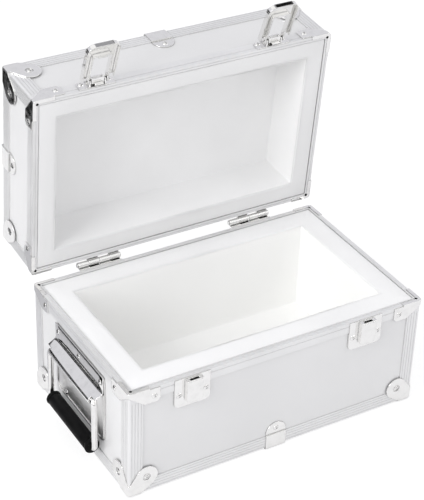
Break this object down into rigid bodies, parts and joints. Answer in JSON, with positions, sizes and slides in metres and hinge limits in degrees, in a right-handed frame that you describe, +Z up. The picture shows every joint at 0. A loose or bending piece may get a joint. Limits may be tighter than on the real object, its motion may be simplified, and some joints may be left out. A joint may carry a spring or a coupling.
{
  "type": "calibration weight case",
  "caption": "Open carrying case with a foam-lined pocket for a test weight, ribbed metal edging, riveted corner protectors, hinged lid, lever latches and folding end handles.",
  "frame": {"origin": "middle of the open case's footprint (its bounding box), on the plane the corner protectors rest on", "axes": "+X along the case to its right end, +Y from the latch side to the hinge side, +Z up"},
  "size_m": [0.3506, 0.2759, 0.3737],
  "materials": {
    "board": "satin laminated board, very pale silver grey",
    "profile": "anodised, finely ribbed",
    "fittings": "polished nickel plate on pressed steel",
    "rivet": "polished, domed",
    "pin": "drawn wire, plated",
    "foam": "matt closed-cell foam",
    "grip": "satin black moulded rubber"
  },
  "bodies": {
    "base": {"base_back_panel": "board", "base_bottom_panel": "board", "base_bottom_profiles": "profile", "base_clips": "fittings", "base_corner_profiles": "profile", "base_corner_protectors": "fittings", "base_foam": "foam", "base_front_panel": "board", "base_left_panel": "board", "base_right_panel": "board", "base_rim_profiles": "profile", "base_rim_protectors": "fittings", "base_rivets": "rivet", "handle_hood_left": "fittings", "handle_hood_right": "fittings", "handle_plate_left": "fittings", "handle_plate_right": "fittings", "handle_rivets_left": "rivet", "handle_rivets_right": "rivet", "hinge_base_leaf_left": "fittings", "hinge_base_leaf_right": "fittings", "hinge_base_rivets": "rivet", "keeper_left": "fittings", "keeper_right": "fittings", "keeper_rivets": "rivet"},
    "lid": {"hinge_lid_leaf_left": "fittings", "hinge_lid_leaf_right": "fittings", "hinge_lid_rivets": "rivet", "hinge_pin_left": "pin", "hinge_pin_right": "pin", "latch_pivot_pins_left": "pin", "latch_pivot_pins_right": "pin", "latch_plate_left": "fittings", "latch_plate_right": "fittings", "latch_rivets": "rivet", "lid_back_panel": "board", "lid_clips": "fittings", "lid_corner_profiles": "profile", "lid_corner_protectors": "fittings", "lid_foam": "foam", "lid_front_panel": "board", "lid_left_panel": "board", "lid_right_panel": "board", "lid_rim_profiles": "profile", "lid_rim_protectors": "fittings", "lid_rivets": "rivet", "lid_top_panel": "board", "lid_top_profiles": "profile"},
    "lever_left": {"latch_lever_left": "fittings", "latch_link_pin_left": "pin"},
    "hook_left": {"latch_hook_left": "fittings"},
    "handle_left": {"handle_bail_left": "fittings", "handle_grip_left": "grip"},
    "lever_right": {"latch_lever_right": "fittings", "latch_link_pin_right": "pin"},
    "hook_right": {"latch_hook_right": "fittings"},
    "handle_right": {"handle_bail_right": "fittings", "handle_grip_right": "grip"}
  },
  "joints": [
    {"name": "lid_hinge", "type": "hinge", "parent": "base", "child": "lid", "pos_m": [0, 0.0708, 0.1224], "axis": [1, 0, 0], "range_deg": [0, 85]},
    {"name": "lever_left_pivot", "type": "hinge", "parent": "lid", "child": "lever_left", "pos_m": [-0.0945, 0.05469, 0.32948], "axis": [1, 0, 0], "range_deg": [0, 74]},
    {"name": "hook_left_link", "type": "hinge", "parent": "lever_left", "child": "hook_left", "pos_m": [-0.0945, 0.05514, 0.33235], "axis": [1, 0, 0], "range_deg": [-74, 0]},
    {"name": "handle_left_swing", "type": "hinge", "parent": "base", "child": "handle_left", "pos_m": [-0.1675, -0.0334, 0.079], "axis": [0, 1, 0], "range_deg": [0, 90]},
    {"name": "lever_right_pivot", "type": "hinge", "parent": "lid", "child": "lever_right", "pos_m": [0.0945, 0.05469, 0.32948], "axis": [1, 0, 0], "range_deg": [0, 74]},
    {"name": "hook_right_link", "type": "hinge", "parent": "lever_right", "child": "hook_right", "pos_m": [0.0945, 0.05514, 0.33235], "axis": [1, 0, 0], "range_deg": [-74, 0]},
    {"name": "handle_right_swing", "type": "hinge", "parent": "base", "child": "handle_right", "pos_m": [0.1675, -0.0334, 0.079], "axis": [0, -1, 0], "range_deg": [0, 90]}
  ],
  "couplings": [
    {"joint": "hook_left_link", "follows": "lever_left_pivot", "ratio": -1},
    {"joint": "hook_right_link", "follows": "lever_right_pivot", "ratio": -1}
  ]
}
